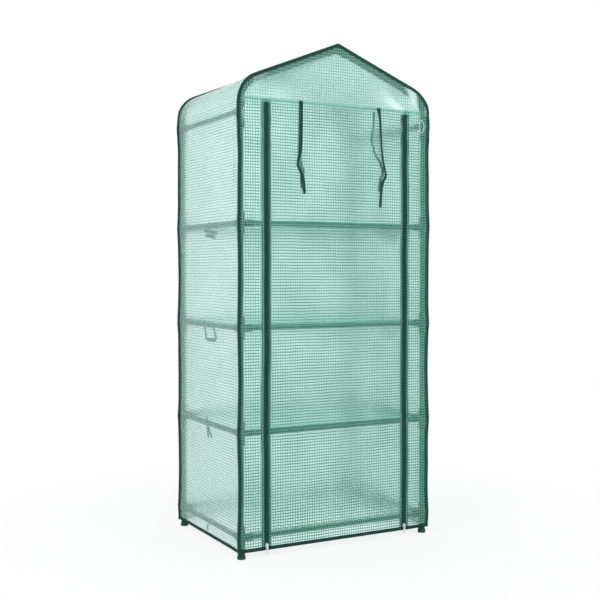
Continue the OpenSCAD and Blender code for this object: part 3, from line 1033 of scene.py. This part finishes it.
# flat tape that runs inside a side wall
def wallTape(sign, run, middle):
    grid, length = [], 0
    for (y, z), (y2, z2) in zip(run, run[1:]):
        step = sqrt((y2 - y) ** 2 + (z2 - z) ** 2)
        acrossY, acrossZ = (z - z2) / step, (y2 - y) / step
        for t in (0, 0.25, 0.5, 0.75, 1):
            row = []
            for c in (-0.5, 0, 0.5):
                flatY = railMid + y + (y2 - y) * t + acrossY * c * tieLook["width"]
                flatZ = middle + z + (z2 - z) * t + acrossZ * c * tieLook["width"]
                spot = settle((sign * (wallX - tieLook["behind"]), flatY, flatZ))
                row.append((spot, (sign, 0, 0), (length + step * t, (c + 0.5) * tieLook["width"])))
            grid.append(row)
        length += step
    return grid


# flat band round a tube that runs along the axis
def bandRings(place, axis, inner, outer, width, count):
    rings = []
    for i in range(count):
        turn = 2 * pi * i / count
        ring = []
        for far, along in ((inner, -0.5), (inner, 0.5), (outer, 0.5), (outer, -0.5)):
            a, b = far * cos(turn), far * sin(turn)
            offset = (a, along * width, b) if axis == "y" else (a, b, along * width)
            ring.append(Vector(place) + Vector(offset))
        rings.append(ring)
    return rings


sewn = Sewn()
inner, width, corners = tieLook["loop"], tieLook["width"], tieLook["corners"]
outer = inner + tieLook["thick"]
loopSteps = [i * tieLook["step"] for i in range(corners)]
loopWidths = 0, width, outer - inner + width, 2 * width
for sign in sides.values():
    for middle, runs in zip(railHeights, tieEnds):
        loop = bandRings((sign * postX, railMid, middle), "y", inner, outer, width, corners)
        sewn.sweep(loop, loopSteps, loopWidths, 0, True)
        for run in runs:
            sewn.shell(wallTape(sign, run, middle), tieLook["thick"])
ties = sewn.piece("wall_ties", [tieCloth])
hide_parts("cover_ties")
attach(ties, "frame")

# elastic loops at the front eaves: a dark band round the socket, a white cord, and on the left a white tape,
# partly a real tab and partly a painted highlight on the film there
loopLook = {
    "spot": (0.3200, 1.346),             # middle of a cord loop, across and up
    "reach": (0.0095, 0.020),            # half its width and height
    "cord": 0.0020,
    "cordCorners": 36,
    "cordStep": 0.0032,                  # metres of weave from one corner to the next
    "band": (0.01055, 0.0111),           # inner and outer radius
    "bandCorners": 24,
    "bandStep": 0.0028,
    "bandEdge": 0.0006,
    "tapeAcross": (0.264, 0.322),
    "tapeUp": (1.343, 1.372),
    "tapeBehind": 0.0008,
    "tapeThick": 0.0006,
    "tapeSteps": (0.008, 0.006),
}
loopLow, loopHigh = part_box("corner_ties")
bandY = loopLow[1] + loopLook["band"][1]
bandZ = (loopLow[2] + loopHigh[2]) / 2
bandWidth = loopHigh[2] - loopLow[2]
bandSteps = [i * loopLook["bandStep"] for i in range(loopLook["bandCorners"])]
bandWidths = 0, bandWidth, bandWidth + loopLook["bandEdge"], 2 * bandWidth
filmBack = frontY + filmThick / 2
sewn = Sewn()
for sign in sides.values():
    band = bandRings((sign * postX, bandY, bandZ), "z", *loopLook["band"], bandWidth, len(bandSteps))
    sewn.sweep(band, bandSteps, bandWidths, 1, True)
    rings, steps = [], []
    r = loopLook["cord"]
    for i in range(loopLook["cordCorners"]):
        turn = 2 * pi * i / loopLook["cordCorners"]
        x = loopLook["spot"][0] + loopLook["reach"][0] * cos(turn)
        z = loopLook["spot"][1] + loopLook["reach"][1] * sin(turn)
        middle = Vector((sign * x, filmBack + 1.2 * r, z))
        outward = Vector((sign * cos(turn), 0, sin(turn)))
        rounds = [t * pi / 3 for t in range(6)]
        rings.append([middle + outward * r * cos(t) + Vector((0, r * sin(t), 0)) for t in rounds])
        steps.append(i * loopLook["cordStep"])
    sewn.sweep(rings, steps, [t * 0.0013 for t in range(6)], 0, True)
# white tape on the left: partly a tab, partly a painted highlight at the left eave
tapeY = filmBack + loopLook["tapeBehind"]
tapeColumns = spread(*loopLook["tapeAcross"], loopLook["tapeSteps"][0])
tapeRows = spread(*loopLook["tapeUp"], loopLook["tapeSteps"][1])
tapeGrid = [[(settle((-x, tapeY, z)), (0, -1, 0), (x, z - tapeRows[0])) for x in tapeColumns]
            for z in tapeRows]
sewn.shell(tapeGrid, loopLook["tapeThick"])
loops = sewn.piece("eave_loops", [whiteTape, webbing], tapeSharp)
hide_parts("corner_ties")
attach(loops, "frame")
print("straps, ties and loops made")

# the tapes that are sewn to each film panel
trims = {
    "cover_gable": ["edge_binding_front", "gable_seam"],
    "cover_back": ["edge_binding_back", "hem_tape"],
    "cover_wall_left": ["wall_ties"],
    "cover_strip_left": ["eave_loops"],
    "cover_strip_right": ["zip_fixed_halves"],
    "door_film_%02d" % doorLook["strips"]: ["door_hem"],
}
for panel, cut in cuts:
    sewnOn = trims.get(panel.name, [])
    if panel.name.startswith("door_film"):
        sewnOn = sewnOn + [panel.name.replace("film", "zip")]

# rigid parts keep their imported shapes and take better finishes
for name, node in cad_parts.items():
    if node.hide_render:
        continue
    finish = tubePaint
    if name == "feet" or "connectors" in name:
        finish = hubPlastic
    elif name.startswith("wire_shelf"):
        finish = shelfCoat
    elif name.startswith("zip_"):
        finish = zipMetal
    node.data.materials.clear()
    node.data.materials.append(finish)
    node.data.shade_smooth()
    node.data.set_sharp_from_angle(angle=radians(35))
print("frame parts finished")

# studio: pale floor and backdrop that the camera sees as white
stageLook = {
    "floor": (0.88, 0.89, 0.89),
    "size": 14.0,
    "shadow": 0.22,          # how much of the floor's own shading the camera sees at the middle
    "reach": (0.5, 1.5),     # metres from the middle, where that fades
    "world": 0.78,
}


def stageFinish():
    finish = Finish("studio")
    paper = finish.add("ShaderNodeBsdfDiffuse", {}, {"Color": colour(stageLook["floor"])})
    white = finish.add("ShaderNodeEmission", {}, {"Color": (1, 1, 1, 1), "Strength": 1.0})
    away = finish.add("ShaderNodeVectorMath", {"operation": "LENGTH"}, {0: finish.solidPlace()}, "Value")
    shadow = finish.ramped(away, *stageLook["reach"], stageLook["shadow"], 0.0)
    return finish.close(finish.blended(finish.seen() * (1 - shadow), paper, white))


def skyFinish():
    finish = Finish("studio", bpy.data.worlds)
    soft, white = [finish.add("ShaderNodeBackground", {}, {"Color": (1, 1, 1, 1), "Strength": strength})
                   for strength in (stageLook["world"], 1.0)]
    return finish.close(finish.blended(finish.seen(), soft, white), "ShaderNodeOutputWorld")


floorMesh = bpy.data.meshes.new("studio_floor")
reach = stageLook["size"] / 2
floorCorners = [(-reach, -reach, 0), (reach, -reach, 0), (reach, reach, 0), (-reach, reach, 0)]
floorMesh.from_pydata(floorCorners, [], [(0, 1, 2, 3)])
floorMesh.materials.append(stageFinish())
floor = bpy.data.objects.new("studio_floor", floorMesh)
scene.collection.objects.link(floor)

scene.world = skyFinish()

lampSetup = {    # place, size of the lamp in metres, watts
    "key": ((-2.6, -1.6, 2.3), (1.6, 2.0), 46.0),
    "front": ((0.9, -3.2, 1.9), (1.4, 1.8), 26.0),
}
lampAim = Vector((0, 0, 0.85))
for name, (spot, size, power) in lampSetup.items():
    lampData = bpy.data.lights.new(name, "AREA")
    lampData.shape = "RECTANGLE"
    lampData.size, lampData.size_y = size
    lampData.energy = power
    lamp = bpy.data.objects.new(name, lampData)
    lamp.location = spot
    lamp.rotation_euler = (lampAim - Vector(spot)).to_track_quat("-Z", "Y").to_euler()
    scene.collection.objects.link(lamp)
print("studio made")

bpy.context.view_layer.update()
